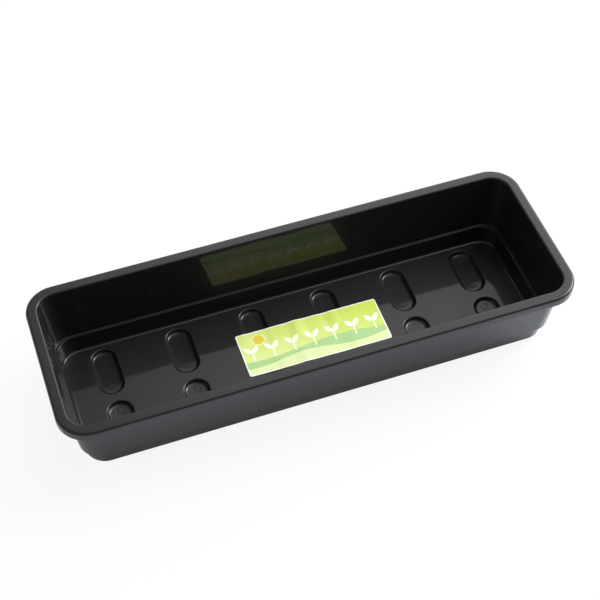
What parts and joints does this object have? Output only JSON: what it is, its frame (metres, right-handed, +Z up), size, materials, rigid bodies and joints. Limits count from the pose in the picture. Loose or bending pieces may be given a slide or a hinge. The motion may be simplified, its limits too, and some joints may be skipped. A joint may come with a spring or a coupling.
{
  "type": "potting soil tray",
  "caption": "Long narrow black plastic garden tray with rounded corners, drafted walls, a ledge inside, a turned-down rim and oval foot pockets in its floor, with a label stuck on the floor.",
  "frame": {"origin": "middle of the tray, on the plane that its feet stand on", "axes": "+X along the tray's length, +Y across it, +Z up out of its open top"},
  "size_m": [0.56, 0.1976, 0.0955],
  "materials": {
    "tray_plastic": "black polypropylene, moulded smooth, semi-gloss",
    "label_paper": "printed self-adhesive label, lime green, light gloss"
  },
  "bodies": {
    "root": {"tray_body": "tray_plastic", "floor_label": "label_paper"}
  },
  "joints": []
}
